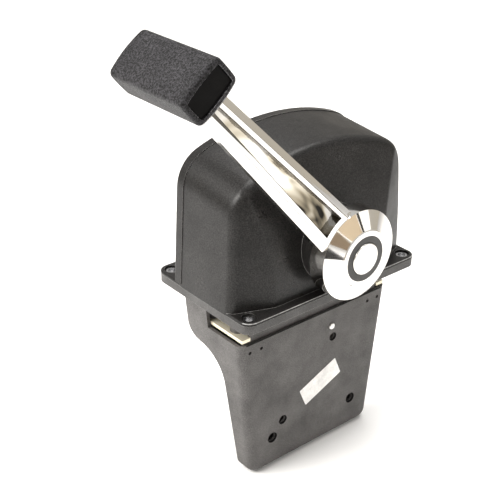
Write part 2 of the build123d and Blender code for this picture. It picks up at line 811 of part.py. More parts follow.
with BuildPart() as lower_housing:
    add(housing_outer.part)
    add(housing_inner.part, mode=Mode.SUBTRACT)
    with BuildSketch(upright(hatch_front_y)):
        with BuildLine():
            hatch_half = housing_half(hatch_top_z) - housing_wall
            foot_half = housing_half(hatch_bottom_z) - housing_wall
            Polyline(
                (-hatch_half, hatch_top_z),
                (hatch_half, hatch_top_z),
                (foot_half, hatch_bottom_z),
                (-foot_half, hatch_bottom_z),
                close=True,
            )
        make_face()
    extrude(amount=hatch_front_y, mode=Mode.SUBTRACT)
    with BuildSketch(Plane.XY.offset(housing_top_z - neck_overlap)):
        with Locations((0, neck_front_y + neck_wall / 2)):
            Rectangle(2 * neck_half, neck_wall)
    extrude(amount=neck_overlap - housing_top_z + housing_seat)
    with BuildSketch(Plane.XY.offset(-lug_thick)):
        for x in (-lug_front_x, lug_front_x):
            with Locations((x, lug_front_y)):
                Rectangle(lug_length, lug_width)
        for x in (-lug_rear_x, lug_rear_x):
            with Locations((x + copysign(lug_root / 2, x), lug_rear_y)):
                Rectangle(lug_length + lug_root, lug_width)
    extrude(amount=lug_thick + housing_seat)
    for x, y in lug_spots:
        add(post(x, y, -lug_thick - 1, lug_screw_r + seat_gap, lug_thick + 3), mode=Mode.SUBTRACT)
    for spot, radius in ((rivet_at, pad_r), (spare_hole_at, pad_r)):
        add(disc(spot[0], spot[1], housing_front_y + 1, radius, base_notch_y - housing_front_y - 1))
    add(disc(rivet_at[0], rivet_at[1], housing_front_y - 1, rivet_r + seat_gap, 10.0), mode=Mode.SUBTRACT)
    add(disc(spare_hole_at[0], spare_hole_at[1], housing_front_y - 1, spare_hole_r, 10.0), mode=Mode.SUBTRACT)
    with BuildSketch(upright(housing_front_y - 1)):
        for x in (-pilot_x, pilot_pitch - pilot_x, pilot_x - pilot_pitch, pilot_x):
            with Locations((x, pilot_z)):
                Circle(pilot_r)
        with Locations((-clamp_hole_x, clamp_hole_z), (clamp_hole_x, clamp_hole_z)):
            Circle(clamp_hole_r)
        with Locations(locating_hole):
            Circle(locating_hole_r)
    extrude(amount=-6.0, mode=Mode.SUBTRACT)
lower_housing.part.label = "lower_housing"
export_step(lower_housing.part, "parts/lower_housing.step")

with BuildPart() as housing_rivet:
    grip_depth = base_notch_y + plate_thick - housing_front_y
    add(disc(rivet_at[0], rivet_at[1], housing_front_y - rivet_head, rivet_head_r, rivet_head))
    add(disc(rivet_at[0], rivet_at[1], housing_front_y, rivet_r, grip_depth))
    fillet(housing_rivet.edges().group_by(Axis.Y)[0], rivet_head * 0.8)
housing_rivet.part.label = "housing_rivet"
export_step(housing_rivet.part, "parts/housing_rivet.step")

# Lever arm: polished casting of hub, tapered arm with a channel, and a tang inside the grip
def arm_half(s):
    """Half width of the arm at distance s from the hub centre."""
    return arm_start_half + (arm_end_half - arm_start_half) * (s - arm_start) / (arm_end - arm_start)


arm_sections = []
for s in (arm_start, arm_end):
    half = arm_half(s)
    crest = half - arm_flank
    outline = (
        (-crest, arm_front_y),
        (-half, arm_front_y + arm_flank_depth),
        (-half, arm_back_y - arm_back_chamfer),
        (-half + arm_back_chamfer, arm_back_y),
        (half - arm_back_chamfer, arm_back_y),
        (half, arm_back_y - arm_back_chamfer),
        (half, arm_front_y + arm_flank_depth),
        (crest, arm_front_y),
    )
    with BuildSketch(across_lever(s)) as section:
        with BuildLine():
            Polyline(*[(arm_side + n, y) for n, y in outline], close=True)
        make_face()
    arm_sections.append(section.sketch)

channel_sections = []
for s in (channel_start, channel_end):
    mouth = arm_half(s) - arm_flank - arm_ridge
    with BuildSketch(across_lever(s)) as section:
        with BuildLine():
            Polyline(
                (arm_side - mouth - channel_draft, arm_front_y - channel_depth),
                (arm_side - mouth + channel_draft, arm_front_y + channel_depth),
                (arm_side + mouth - channel_draft, arm_front_y + channel_depth),
                (arm_side + mouth + channel_draft, arm_front_y - channel_depth),
                close=True,
            )
        make_face()
    channel_sections.append(section.sketch)

with BuildPart() as channel:
    loft(channel_sections)
    add(disc(0, shaft_z, arm_front_y - 5, hub_moat_r, 20.0), mode=Mode.SUBTRACT)

with BuildPart() as lever_arm:
    loft(arm_sections)
    add(channel.part, mode=Mode.SUBTRACT)
    ridge_edges = [
        e for e in lever_arm.edges() if abs(e.center().Y - arm_front_y) < seat_gap and e.length > hub_r
    ]
    fillet(ridge_edges, arm_edge_r)
    with BuildSketch(Plane(origin=(0, 0, shaft_z), x_dir=(1, 0, 0), z_dir=(0, 0, 1))):
        with BuildLine():
            Polyline(
                (0, hub_back_y),
                (hub_r, hub_back_y),
                (hub_r, hub_cone_y),
                (hub_rim_r, hub_rim_y),
                (hub_rim_r - 0.5, hub_face_y),
                (ring_outer_r + seat_gap, hub_face_y),
                (ring_outer_r + seat_gap, hub_face_y + ring_depth),
                (ring_inner_r, hub_face_y + ring_depth),
                (ring_inner_r, button_bay_y),
                (0, button_bay_y),
                close=True,
            )
        make_face()
    revolve(axis=Axis((0, 0, shaft_z), (0, 1, 0)))
    add(disc(0, shaft_z, button_bay_y - 1, shaft_r + seat_gap, 20.0), mode=Mode.SUBTRACT)
    with BuildSketch(across_lever(arm_end - 1)):
        with Locations((0, (arm_front_y + arm_back_y) / 2)):
            Rectangle(tang_width, tang_thick)
    extrude(amount=tang_length)
    with BuildSketch(across_lever(-hub_r - 2)):
        with Locations((0, set_screw_y)):
            Circle(set_screw_r + seat_gap)
    extrude(amount=hub_r, mode=Mode.SUBTRACT)
    with BuildSketch(lever_plane(arm_front_y - 2)):
        with Locations((0, arm_end + tang_length / 2)):
            Circle(grip_screw_r + seat_gap)
    extrude(amount=-(tang_thick + 8), mode=Mode.SUBTRACT)
lever_arm.part.label = "lever_arm"
export_step(lever_arm.part, "parts/lever_arm.step")

with BuildPart() as hub_set_screw:
    with BuildSketch(across_lever(-shaft_r - seat_gap - set_screw_length)):
        with Locations((0, set_screw_y)):
            Circle(set_screw_r)
    extrude(amount=set_screw_length)
hub_set_screw.part.label = "hub_set_screw"
export_step(hub_set_screw.part, "parts/hub_set_screw.step")

with BuildPart() as hub_trim_ring:
    add(disc(0, shaft_z, hub_face_y, ring_outer_r, ring_depth, ring_inner_r))
hub_trim_ring.part.label = "hub_trim_ring"
export_step(hub_trim_ring.part, "parts/hub_trim_ring.step")

with BuildPart() as main_shaft:
    add(disc(0, shaft_z, button_bay_y, shaft_r, shaft_rear_y - button_bay_y))
    rod_bore = button_rod_end_y + button_travel + free_gap - button_bay_y
    add(disc(0, shaft_z, button_bay_y, button_rod_r + run_gap, rod_bore), mode=Mode.SUBTRACT)
main_shaft.part.label = "main_shaft"
export_step(main_shaft.part, "parts/main_shaft.step")

# Grip: a rounded bar across the end of the lever, with a plugged screw bay in its outer end
def grip_plane(y):
    """Plane that faces -Y at the grip's centre; its axes are the grip's width and thickness."""
    tilt = radians(lever_tilt)
    turned = radians(lever_tilt - grip_turn)
    x = -grip_reach * sin(tilt) + grip_side * cos(tilt)
    z = shaft_z + grip_reach * cos(tilt) + grip_side * sin(tilt)
    return Plane(origin=(x, y, z), x_dir=(cos(turned), 0, sin(turned)), z_dir=(0, -1, 0))


def crowned(y, width, thick, width_crown, thick_crown, corner_r):
    """Rectangle whose four sides bulge a little, on the grip's plane."""
    across = width / 2
    up = thick / 2
    with BuildSketch(grip_plane(y)) as outline:
        with BuildLine():
            ThreePointArc((-across, up), (0, up + thick_crown), (across, up))
            ThreePointArc((across, up), (across + width_crown, 0), (across, -up))
            ThreePointArc((across, -up), (0, -up - thick_crown), (-across, -up))
            ThreePointArc((-across, -up), (-across - width_crown, 0), (-across, up))
        make_face()
        fillet(outline.vertices(), corner_r)
    return outline.sketch


with BuildPart() as grip:
    grip_outline = crowned(
        grip_front_y, grip_width, grip_thick, grip_width_crown, grip_thick_crown, grip_corner_r
    )
    extrude(grip_outline, amount=grip_length, dir=(0, 1, 0))
    fillet(grip.edges().group_by(Axis.Y)[0] + grip.edges().group_by(Axis.Y)[-1], grip_end_r)
    bay_outline = crowned(grip_front_y, plug_width, plug_height, 0.1, plug_crown, plug_corner_r)
    extrude(bay_outline, amount=grip_bay_depth, dir=(0, 1, 0), mode=Mode.SUBTRACT)
    with BuildSketch(across_lever(arm_end - 10)):
        with Locations((arm_side, (arm_front_y + arm_back_y) / 2)):
            Rectangle(2 * arm_half(arm_end - 10) + 0.2, arm_back_y - arm_front_y + 0.2)
    extrude(amount=10.0, mode=Mode.SUBTRACT)
    with BuildSketch(across_lever(arm_end - 10)):
        with Locations((0, (arm_front_y + arm_back_y) / 2)):
            Rectangle(tang_width + 0.1, tang_thick + 0.1)
    extrude(amount=10.0 + tang_length - 0.8, mode=Mode.SUBTRACT)
    with BuildSketch(lever_plane(grip_front_y)):
        with Locations((0, arm_end + tang_length / 2)):
            Circle(grip_screw_r + seat_gap)
    extrude(amount=-(arm_back_y - grip_front_y), mode=Mode.SUBTRACT)
grip.part.label = "grip"
export_step(grip.part, "parts/grip.step")

with BuildPart() as grip_end_plug:
    plug_outline = crowned(
        grip_front_y + plug_recess,
        plug_width - 2 * plug_gap,
        plug_height - 2 * plug_gap,
        0.1,
        plug_crown,
        plug_corner_r - plug_gap,
    )
    extrude(plug_outline, amount=plug_thick, dir=(0, 1, 0))
    fillet(grip_end_plug.edges().group_by(Axis.Y)[0], 0.5)
grip_end_plug.part.label = "grip_end_plug"
export_step(grip_end_plug.part, "parts/grip_end_plug.step")

with BuildPart() as grip_screw:
    bay_floor_y = grip_front_y + grip_bay_depth
    with BuildSketch(lever_plane(bay_floor_y - grip_screw_head)):
        with Locations((0, arm_end + tang_length / 2)):
            Circle(grip_screw_head_r)
    extrude(amount=-grip_screw_head)
    with BuildSketch(lever_plane(bay_floor_y)):
        with Locations((0, arm_end + tang_length / 2)):
            Circle(grip_screw_r)
    extrude(amount=-(arm_back_y - 1.5 - bay_floor_y))
grip_screw.part.label = "grip_screw"
export_step(grip_screw.part, "parts/grip_screw.step")

# Warm-up button with its rod, and the spring behind it
with BuildPart() as neutral_button:
    add(disc(0, shaft_z, button_front_y, button_r, button_thick))
    fillet(neutral_button.edges().group_by(Axis.Y)[0], 0.8)
neutral_button.part.label = "neutral_button"
export_step(neutral_button.part, "parts/neutral_button.step")

with BuildPart() as button_rod:
    rod_front = button_front_y + button_thick
    add(disc(0, shaft_z, rod_front, button_rod_r, button_rod_end_y - rod_front))
button_rod.part.label = "button_rod"
export_step(button_rod.part, "parts/button_rod.step")


def coil_spring(wire, coil_r, turns, length, plane):
    """Helical spring, starting at the plane and running along its normal."""
    height = length - wire
    with BuildPart() as spring:
        with BuildLine() as path:
            Helix(height / turns, height, coil_r, center=(0, 0, wire / 2))
        with BuildSketch(Plane(origin=path.line @ 0, z_dir=path.line % 0)):
            RegularPolygon(wire / 2, 6)
        sweep(is_frenet=True)
    return plane.location * spring.part


button_spring = coil_spring(
    spring_wire,
    spring_coil_r,
    spring_turns,
    button_bay_y - rod_front,
    Plane(origin=(0, rod_front, shaft_z), x_dir=(1, 0, 0), z_dir=(0, 1, 0)),
)
button_spring.label = "button_spring"
export_step(button_spring, "parts/button_spring.step")

# Gears on the lever shaft and the toothed sectors that they turn
for name, teeth, side, y in (
    ("shift_pinion", shift_pinion_teeth, -1, shift_gear_y),
    ("throttle_pinion", throttle_pinion_teeth, 1, throttle_gear_y),
):
    pitch_r, root_r, tip_r, tooth = gear_sizes(teeth)
    line_angle = degrees(atan2(pivot_z - shaft_z, side * pivot_x))
    with BuildPart() as pinion:
        with BuildSketch(upright(y)):
            with Locations((0, shaft_z)):
                Circle(root_r)
            for k in range(teeth):
                turn = line_angle + (k + 0.5) * 360 / teeth
                add(Pos(0, shaft_z) * (Rot(0, 0, turn) * tooth))
            with Locations((0, shaft_z)):
                Circle(shaft_r + seat_gap, mode=Mode.SUBTRACT)
        extrude(amount=-gear_thick)
    pinion.part.label = name
    export_step(pinion.part, f"parts/{name}.step")

for name, teeth, side, y in (
    ("shift_sector", shift_sector_teeth, -1, shift_gear_y),
    ("throttle_sector", throttle_sector_teeth, 1, throttle_gear_y),
):
    pitch_r, root_r, tip_r, tooth = gear_sizes(teeth)
    step = 360 / teeth
    line_angle = degrees(atan2(shaft_z - pivot_z, -side * pivot_x))
    low = line_angle - (sector_teeth_behind + 0.5) * step
    high = line_angle + (sector_teeth_ahead + 0.5) * step
    centre = (side * pivot_x, pivot_z)
    with BuildPart() as sector:
        with BuildSketch(upright(y)):
            with BuildLine():
                for angle in (low, high):
                    Line(
                        centre,
                        (centre[0] + root_r * cos(radians(angle)), centre[1] + root_r * sin(radians(angle))),
                    )
                CenterArc(centre, root_r, low, high - low)
            make_face()
            with BuildLine():
                inner_r = root_r - sector_rim
                trim = degrees(asin(sector_spoke / inner_r))
                hole_r = sector_hub_r + 3
                hole_trim = degrees(asin(sector_spoke / 2 / hole_r))
                CenterArc(centre, inner_r, low + trim, high - low - 2 * trim)
                CenterArc(centre, hole_r, low + hole_trim, high - low - 2 * hole_trim)
                window_sides = ((low + hole_trim, low + trim), (high - hole_trim, high - trim))
                for inner_angle, outer_angle in window_sides:
                    Line(
                        (
                            centre[0] + hole_r * cos(radians(inner_angle)),
                            centre[1] + hole_r * sin(radians(inner_angle)),
                        ),
                        (
                            centre[0] + inner_r * cos(radians(outer_angle)),
                            centre[1] + inner_r * sin(radians(outer_angle)),
                        ),
                    )
            make_face(mode=Mode.SUBTRACT)
            with Locations(centre):
                Circle(sector_hub_r)
            for k in range(-sector_teeth_behind, sector_teeth_ahead + 1):
                add(Pos(*centre) * (Rot(0, 0, line_angle + k * step) * tooth))
            with Locations(centre):
                Circle(pivot_r + seat_gap, mode=Mode.SUBTRACT)
        extrude(amount=-gear_thick)
    sector.part.label = name
    export_step(sector.part, f"parts/{name}.step")

# Cable arms, the shafts that turn them, their clips and the cable pins
for name, side, length, rest_angle in (
    ("shift", -1, shift_arm_length, shift_rest),
    ("throttle", 1, throttle_arm_length, throttle_rest),
):
    x = side * pivot_x
    tip = (x - length * sin(radians(rest_angle)), pivot_z - length * cos(radians(rest_angle)))
    with BuildPart() as shaft:
        add(disc(x, pivot_z, arm_plate_y, pivot_r, pivot_rear_y - arm_plate_y))
        add(disc(x, pivot_z, arm_plate_y - pivot_head, pivot_head_r, pivot_head))
    shaft.part.label = f"{name}_shaft"
    export_step(shaft.part, f"parts/{name}_shaft.step")
    with BuildPart() as cable_arm:
        with BuildSketch(upright(arm_plate_y)):
            with BuildLine():
                hub_turn = asin((cable_arm_hub_r - cable_arm_end_r) / length)
                away = radians(-90 - rest_angle)
                for edge in (away + pi / 2 - hub_turn, away - pi / 2 + hub_turn):
                    Line(
                        (x + cable_arm_hub_r * cos(edge), pivot_z + cable_arm_hub_r * sin(edge)),
                        (tip[0] + cable_arm_end_r * cos(edge), tip[1] + cable_arm_end_r * sin(edge)),
                    )
                sweep_angle = 180 - degrees(2 * hub_turn)
                CenterArc(tip, cable_arm_end_r, degrees(away) - sweep_angle / 2, sweep_angle)
                CenterArc(
                    (x, pivot_z), cable_arm_hub_r, degrees(away) + sweep_angle / 2, 360 - sweep_angle
                )
            make_face()
            with Locations((x, pivot_z)):
                Circle(pivot_r + seat_gap, mode=Mode.SUBTRACT)
            with Locations(tip):
                Circle(cable_pin_shank_r + seat_gap, mode=Mode.SUBTRACT)
        extrude(amount=-arm_plate_thick)
    cable_arm.part.label = f"{name}_arm"
    export_step(cable_arm.part, f"parts/{name}_arm.step")
    with BuildPart() as cable_pin:
        add(disc(tip[0], tip[1], arm_plate_y - cable_pin_head, cable_pin_head_r, cable_pin_head))
        add(disc(tip[0], tip[1], arm_plate_y, cable_pin_shank_r, arm_plate_thick + 1))
        add(disc(tip[0], tip[1], arm_plate_y + arm_plate_thick, cable_pin_r, cable_pin_length))
    cable_pin.part.label = f"{name}_cable_pin"
    export_step(cable_pin.part, f"parts/{name}_cable_pin.step")
    with BuildPart() as shaft_clip:
        clip_y = rear_plate_y + plate_thick + touch_gap
        add(disc(x, pivot_z, clip_y, clip_r, clip_thick, pivot_r + seat_gap))
    shaft_clip.part.label = f"{name}_shaft_clip"
    export_step(shaft_clip.part, f"parts/{name}_shaft_clip.step")

# Washer and clip that hold the lever shaft in
with BuildPart() as shaft_washer:
    washer_y = rear_plate_y + plate_thick + touch_gap
    add(disc(0, shaft_z, washer_y, bush_flange_r - 1, 0.8, shaft_r + seat_gap))
shaft_washer.part.label = "shaft_washer"
export_step(shaft_washer.part, "parts/shaft_washer.step")

with BuildPart() as shaft_clip_ring:
    add(disc(0, shaft_z, washer_y + 0.8, bush_r, clip_thick, shaft_r + seat_gap))
shaft_clip_ring.part.label = "shaft_clip_ring"
export_step(shaft_clip_ring.part, "parts/shaft_clip_ring.step")

# Neutral detent: notched disc, ball, spring, plug and the block that holds them
with BuildPart() as detent_disc:
    with BuildSketch(upright(detent_disc_y)):
        with Locations((0, shaft_z)):
            Circle(detent_disc_r)
            Circle(shaft_r + seat_gap, mode=Mode.SUBTRACT)
        notch_r = detent_disc_r + detent_ball_r - detent_notch_depth
        for turn in (-detent_step, 0.0, detent_step):
            angle = radians(90 + lever_tilt + turn)
            with Locations((notch_r * cos(angle), shaft_z + notch_r * sin(angle))):
                Circle(detent_ball_r + 0.2, mode=Mode.SUBTRACT)
    extrude(amount=-detent_disc_thick)
detent_disc.part.label = "detent_disc"
export_step(detent_disc.part, "parts/detent_disc.step")

detent_y = detent_disc_y + detent_disc_thick / 2
ball_z = shaft_z + detent_disc_r + detent_ball_gap + detent_ball_r
detent_top = detent_block_z + detent_block_height
with BuildPart() as detent_block:
    with BuildSketch(upright(detent_block_front_y)):
        with Locations((0, detent_block_z + detent_block_height / 2)):
            Rectangle(2 * detent_block_half, detent_block_height)
    extrude(amount=detent_block_front_y - rear_plate_y)
    add(post(0, detent_y, detent_block_z - 1, detent_bore_r, detent_block_height + 2), mode=Mode.SUBTRACT)
    for x in (-detent_screw_x, detent_screw_x):
        z = detent_block_z + detent_block_height / 2
        add(disc(x, z, rear_plate_y - 9, detent_screw_r + seat_gap, 9.0), mode=Mode.SUBTRACT)
detent_block.part.label = "detent_block"
export_step(detent_block.part, "parts/detent_block.step")

with BuildPart() as detent_ball:
    with Locations((0, detent_y, ball_z)):
        Sphere(detent_ball_r)
detent_ball.part.label = "detent_ball"
export_step(detent_ball.part, "parts/detent_ball.step")

with BuildPart() as detent_plug_screw:
    add(post(0, detent_y, detent_top - detent_plug, detent_bore_r - seat_gap, detent_plug))
detent_plug_screw.part.label = "detent_plug"
export_step(detent_plug_screw.part, "parts/detent_plug.step")

detent_spring_start = ball_z + detent_ball_r
detent_spring = coil_spring(
    detent_wire,
    detent_coil_r,
    detent_turns,
    detent_top - detent_plug - detent_spring_start,
    Plane(origin=(0, detent_y, detent_spring_start), x_dir=(1, 0, 0), z_dir=(0, 0, 1)),
)
detent_spring.label = "detent_spring"
export_step(detent_spring, "parts/detent_spring.step")

with BuildPart() as detent_screws:
    for x in (-detent_screw_x, detent_screw_x):
        z = detent_block_z + detent_block_height / 2
        add(disc(x, z, rear_plate_y - 8, detent_screw_r, 8 + plate_thick))
        add(disc(x, z, rear_plate_y + plate_thick, 2 * detent_screw_r, 1.6))
detent_screws.part.label = "detent_screws"
export_step(detent_screws.part, "parts/detent_screws.step")

# Screws that pull the lower housing up against the deck frame
with BuildPart() as housing_screws:
    for x, y in lug_spots:
        add(post(x, y, -lug_thick - lug_screw_head, lug_screw_head_r, lug_screw_head))
        add(post(x, y, -lug_thick, lug_screw_r, lug_thick + frame_thick * 0.7))
housing_screws.part.label = "housing_screws"
export_step(housing_screws.part, "parts/housing_screws.step")
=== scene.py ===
# %% [markdown]
# # A boat's throttle lever
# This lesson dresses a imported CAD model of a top-mount engine control. The CAD gives every piece
# its place and size, in metres. Blender adds the camera, the light, the finishes and the soft
# edges that moulded plastic and polished metal have.

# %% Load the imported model
import json
from math import cos, radians, sin

import bpy
from mathutils import Matrix, Vector

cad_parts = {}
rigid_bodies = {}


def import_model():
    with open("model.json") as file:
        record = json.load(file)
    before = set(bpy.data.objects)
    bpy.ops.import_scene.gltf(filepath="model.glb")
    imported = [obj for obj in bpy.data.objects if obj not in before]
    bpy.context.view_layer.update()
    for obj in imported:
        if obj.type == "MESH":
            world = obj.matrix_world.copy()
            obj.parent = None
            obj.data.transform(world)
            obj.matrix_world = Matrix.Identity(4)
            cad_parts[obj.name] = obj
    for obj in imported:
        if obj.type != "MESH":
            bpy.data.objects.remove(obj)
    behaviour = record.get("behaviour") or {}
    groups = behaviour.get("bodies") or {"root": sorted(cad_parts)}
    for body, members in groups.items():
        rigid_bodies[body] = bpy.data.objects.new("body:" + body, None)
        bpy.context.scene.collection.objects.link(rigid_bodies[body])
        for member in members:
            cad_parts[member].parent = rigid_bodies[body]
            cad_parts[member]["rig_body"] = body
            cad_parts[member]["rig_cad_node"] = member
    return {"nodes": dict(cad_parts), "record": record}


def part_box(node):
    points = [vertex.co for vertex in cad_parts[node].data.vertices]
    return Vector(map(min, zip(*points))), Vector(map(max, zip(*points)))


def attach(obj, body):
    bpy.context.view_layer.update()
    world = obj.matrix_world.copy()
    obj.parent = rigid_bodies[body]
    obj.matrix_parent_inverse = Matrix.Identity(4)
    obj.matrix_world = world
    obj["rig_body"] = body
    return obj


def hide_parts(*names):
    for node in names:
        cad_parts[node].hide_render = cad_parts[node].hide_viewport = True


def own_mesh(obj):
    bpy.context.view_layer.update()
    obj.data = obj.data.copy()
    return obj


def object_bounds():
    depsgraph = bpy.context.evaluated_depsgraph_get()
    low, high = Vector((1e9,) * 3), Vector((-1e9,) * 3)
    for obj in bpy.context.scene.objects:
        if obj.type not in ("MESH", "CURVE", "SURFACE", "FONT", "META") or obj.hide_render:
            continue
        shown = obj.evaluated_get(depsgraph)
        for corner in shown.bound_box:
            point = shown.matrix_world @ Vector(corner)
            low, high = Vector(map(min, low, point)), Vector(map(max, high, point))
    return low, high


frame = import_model()
cad_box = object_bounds()
nodes = frame["nodes"]

# %% [markdown]
# ## The camera
# The photograph was taken from the front left, a little above. The direction is an azimuth and an
# elevation, and the camera leans over by a fraction of a degree. The lens is long, so the lever
# doesn't look stretched. The values come from a fit of the flange, the cover's rim and the lower
# housing to the photograph, which is more exact than moving a camera by eye.

# %% Place the camera
VIEW_AZIMUTH = radians(-40.015)
VIEW_ELEVATION = radians(27.619)
VIEW_ROLL = radians(0.644)
CAMERA_AT = Vector((-0.44571, -0.48775, 0.36227))
LENS_MM = 75.363
SENSOR_MM = 36.0
NEAR_CLIP = 0.01

backwards = Vector(
    (
        sin(VIEW_AZIMUTH) * cos(VIEW_ELEVATION),
        -cos(VIEW_AZIMUTH) * cos(VIEW_ELEVATION),
        sin(VIEW_ELEVATION),
    )
)
level = Vector((cos(VIEW_AZIMUTH), sin(VIEW_AZIMUTH), 0))
upwards = backwards.cross(level)
rightwards = level * cos(VIEW_ROLL) + upwards * sin(VIEW_ROLL)
upwards = upwards * cos(VIEW_ROLL) - level * sin(VIEW_ROLL)

bpy.ops.object.select_all(action="DESELECT")
bpy.ops.object.camera_add()
camera = bpy.context.object
camera.name = "product_camera"
camera.data.lens = LENS_MM
camera.data.sensor_width = SENSOR_MM
camera.data.clip_start = NEAR_CLIP
facing = Matrix((rightwards, upwards, backwards)).transposed().to_4x4()
camera.matrix_world = Matrix.Translation(CAMERA_AT) @ facing
bpy.context.scene.camera = camera
print("camera looks along", [round(-v, 3) for v in backwards])

# %% [markdown]
# ## The floor
# The floor is a wide pale board, a hair below the lowest point of the part. Boards and papers have
# one colour and no shine, so one small function makes them all.

# %% Lay the floor
FLOOR_GAP = 0.0006
FLOOR_SIZE = 8.0
FLOOR_Z = cad_box[0][2] - FLOOR_GAP
FLOOR_COLOUR = (0.93, 0.925, 0.92)
PAPER_ROUGHNESS = 0.9


def new_material(name):
    """A new node material, with its node tree and its main shader."""
    material = bpy.data.materials.new(name)
    material.use_nodes = True
    tree = material.node_tree
    return material, tree, tree.nodes["Principled BSDF"]


def paper(name, colour):
    """Board or paper: one colour, without shine."""
    material, _, shader = new_material(name)
    shader.inputs["Base Color"].default_value = (*colour, 1)
    shader.inputs["Roughness"].default_value = PAPER_ROUGHNESS
    return material


bpy.ops.mesh.primitive_plane_add(size=FLOOR_SIZE, location=(0, 0, FLOOR_Z))
floor = bpy.context.object
floor.name = "studio_floor"
floor.data.materials.append(paper("pale_floor", FLOOR_COLOUR))
print("floor at", round(FLOOR_Z, 4))

# %% [markdown]
# ## The studio light
# A product shot of a dark object needs big soft lamps, because black plastic shows its form by
# what it mirrors. One large lamp stands up and to the left, one hangs above, and a weak one fills
# the front. The world is a soft room that is warmer low down.

# %% Light the room
ROOM_LOW = (0.86, 0.79, 0.67, 1)
ROOM_HIGH = (0.95, 0.94, 0.92, 1)
ROOM_HIGH_FROM = 0.6
ROOM_STRENGTH = 0.6

world = bpy.data.worlds.new("soft_room")
bpy.context.scene.world = world
world.use_nodes = True
tree = world.node_tree
where = tree.nodes.new("ShaderNodeTexCoord")
split = tree.nodes.new("ShaderNodeSeparateXYZ")
ramp = tree.nodes.new("ShaderNodeValToRGB")
tree.links.new(where.outputs["Generated"], split.inputs["Vector"])
tree.links.new(split.outputs["Z"], ramp.inputs["Fac"])
ramp.color_ramp.elements[0].position = 0.0
ramp.color_ramp.elements[0].color = ROOM_LOW
ramp.color_ramp.elements[1].position = ROOM_HIGH_FROM
ramp.color_ramp.elements[1].color = ROOM_HIGH
tree.links.new(ramp.outputs["Color"], tree.nodes["Background"].inputs["Color"])
tree.nodes["Background"].inputs["Strength"].default_value = ROOM_STRENGTH


def soft_lamp(name, place, aim, size, power, colour):
    """A square lamp at a place, turned to face a point."""
    bpy.ops.object.light_add(type="AREA", location=place)
    lamp = bpy.context.object
    lamp.name = name
    lamp.data.shape = "SQUARE"
    lamp.data.size = size
    lamp.data.energy = power
    lamp.data.color = colour
    lamp.rotation_euler = (Vector(aim) - Vector(place)).to_track_quat("-Z", "Y").to_euler()


LAMPS = (
    # name, place, what it faces, size, power in watts, colour
    ("left_softbox", (-1.3, 0.35, 1.1), (0, 0, 0), 1.0, 44.0, (1.0, 0.98, 0.95)),
    ("top_softbox", (0.3, 0.2, 1.6), (0, 0, 0), 1.2, 30.0, (1.0, 0.99, 0.97)),
    ("front_fill", (0.6, -1.6, 0.7), (0, 0, -0.02), 1.0, 3.5, (1.0, 0.97, 0.94)),
)
for lamp_values in LAMPS:
    soft_lamp(*lamp_values)
print("lamps", len(LAMPS))

# %% [markdown]
# ## Cards for the metal
# Polished metal in an all-white room has no form at all, so photographers stand cards around it,
# most of them dark. Each card here is a flat upright panel. It is hidden from the camera, from
# diffuse light and from shadows, so it shapes the chrome and hardly touches the plastics.

# %% Stand the cards
CARD_GAP = 0.002
CARD_BASE = FLOOR_Z + CARD_GAP
BLACK_PAPER = (0.012, 0.011, 0.01)
BROWN_PAPER = (0.16, 0.12, 0.08)
BEIGE_PAPER = (0.42, 0.34, 0.24)
WHITE_PAPER = (0.9, 0.89, 0.87)
CARDS = (
    # name, x and y, height of its middle above the base, width, height, turn in degrees, paper
    ("low_black_card", -0.17, -0.62, 0.072, 0.26, 0.12, 0, BLACK_PAPER),
    ("brown_card", -0.115, -0.66, 0.205, 0.39, 0.11, 0, BROWN_PAPER),
    ("beige_card", 0.24, -0.66, 0.36, 0.31, 0.20, 0, BEIGE_PAPER),
    ("slim_card", 0.43, -0.655, 0.34, 0.06, 0.26, 0, BLACK_PAPER),
    ("white_card", 0.60, -0.66, 0.30, 0.29, 0.36, 0, WHITE_PAPER),
    ("right_card", 0.62, -0.40, 0.05, 0.26, 0.10, 35, BROWN_PAPER),
)


def stand_card(name, centre, width, height, turn, colour):
    """An upright panel that only reflections see."""
    bpy.ops.object.select_all(action="DESELECT")
    upright = (radians(90), 0, turn)
    bpy.ops.mesh.primitive_plane_add(size=1.0, location=centre, rotation=upright)
    card = bpy.context.object
    card.name = name
    card.scale = (width, height, 1)
    bpy.ops.object.transform_apply(location=True, rotation=True, scale=True)
    card.visible_camera = False
    card.visible_diffuse = False
    card.visible_shadow = False
    card.visible_transmission = False
    card.data.materials.append(paper(name + "_paper", colour))


for name, x, y, middle, width, height, turn, colour in CARDS:
    stand_card(name, (x, y, CARD_BASE + middle), width, height, radians(turn), colour)
print("cards", len(CARDS))

# %% [markdown]
# ## Small helpers for materials
# Each finish is made of the same few parts: a noise pattern, a part of a pattern's range stretched
# to another range, and a bump. All patterns read Object coordinates, which are metres here, so a
# scale of 2000 means grains of half a millimetre.

# %% Write the helpers


def set_inputs(node, values):
    """Set some of a node's inputs by name."""
    for socket, value in values.items():
        node.inputs[socket].default_value = value


def noise(tree, vector, scale, detail, **more):
    """A noise pattern in some coordinates."""
    pattern = tree.nodes.new("ShaderNodeTexNoise")
    set_inputs(pattern, {"Scale": scale, "Detail": detail, **more})
    tree.links.new(vector, pattern.inputs["Vector"])
    return pattern.outputs["Fac"]


def ranged(tree, value, band, target=(0.0, 1.0)):
    """A value, with the band between two limits stretched to a target range."""
    stretch = tree.nodes.new("ShaderNodeMapRange")
    limits = ("From Min", "From Max", "To Min", "To Max")
    set_inputs(stretch, dict(zip(limits, (*band, *target))))
    tree.links.new(value, stretch.inputs["Value"])
    return stretch.outputs["Result"]


def raise_by(tree, shader, pattern, depth, strength):
    """Bump a surface by a pattern, to a depth in metres."""
    bump = tree.nodes.new("ShaderNodeBump")
    set_inputs(bump, {"Distance": depth, "Strength": strength})
    tree.links.new(pattern, bump.inputs["Height"])
    tree.links.new(bump.outputs["Normal"], shader.inputs["Normal"])


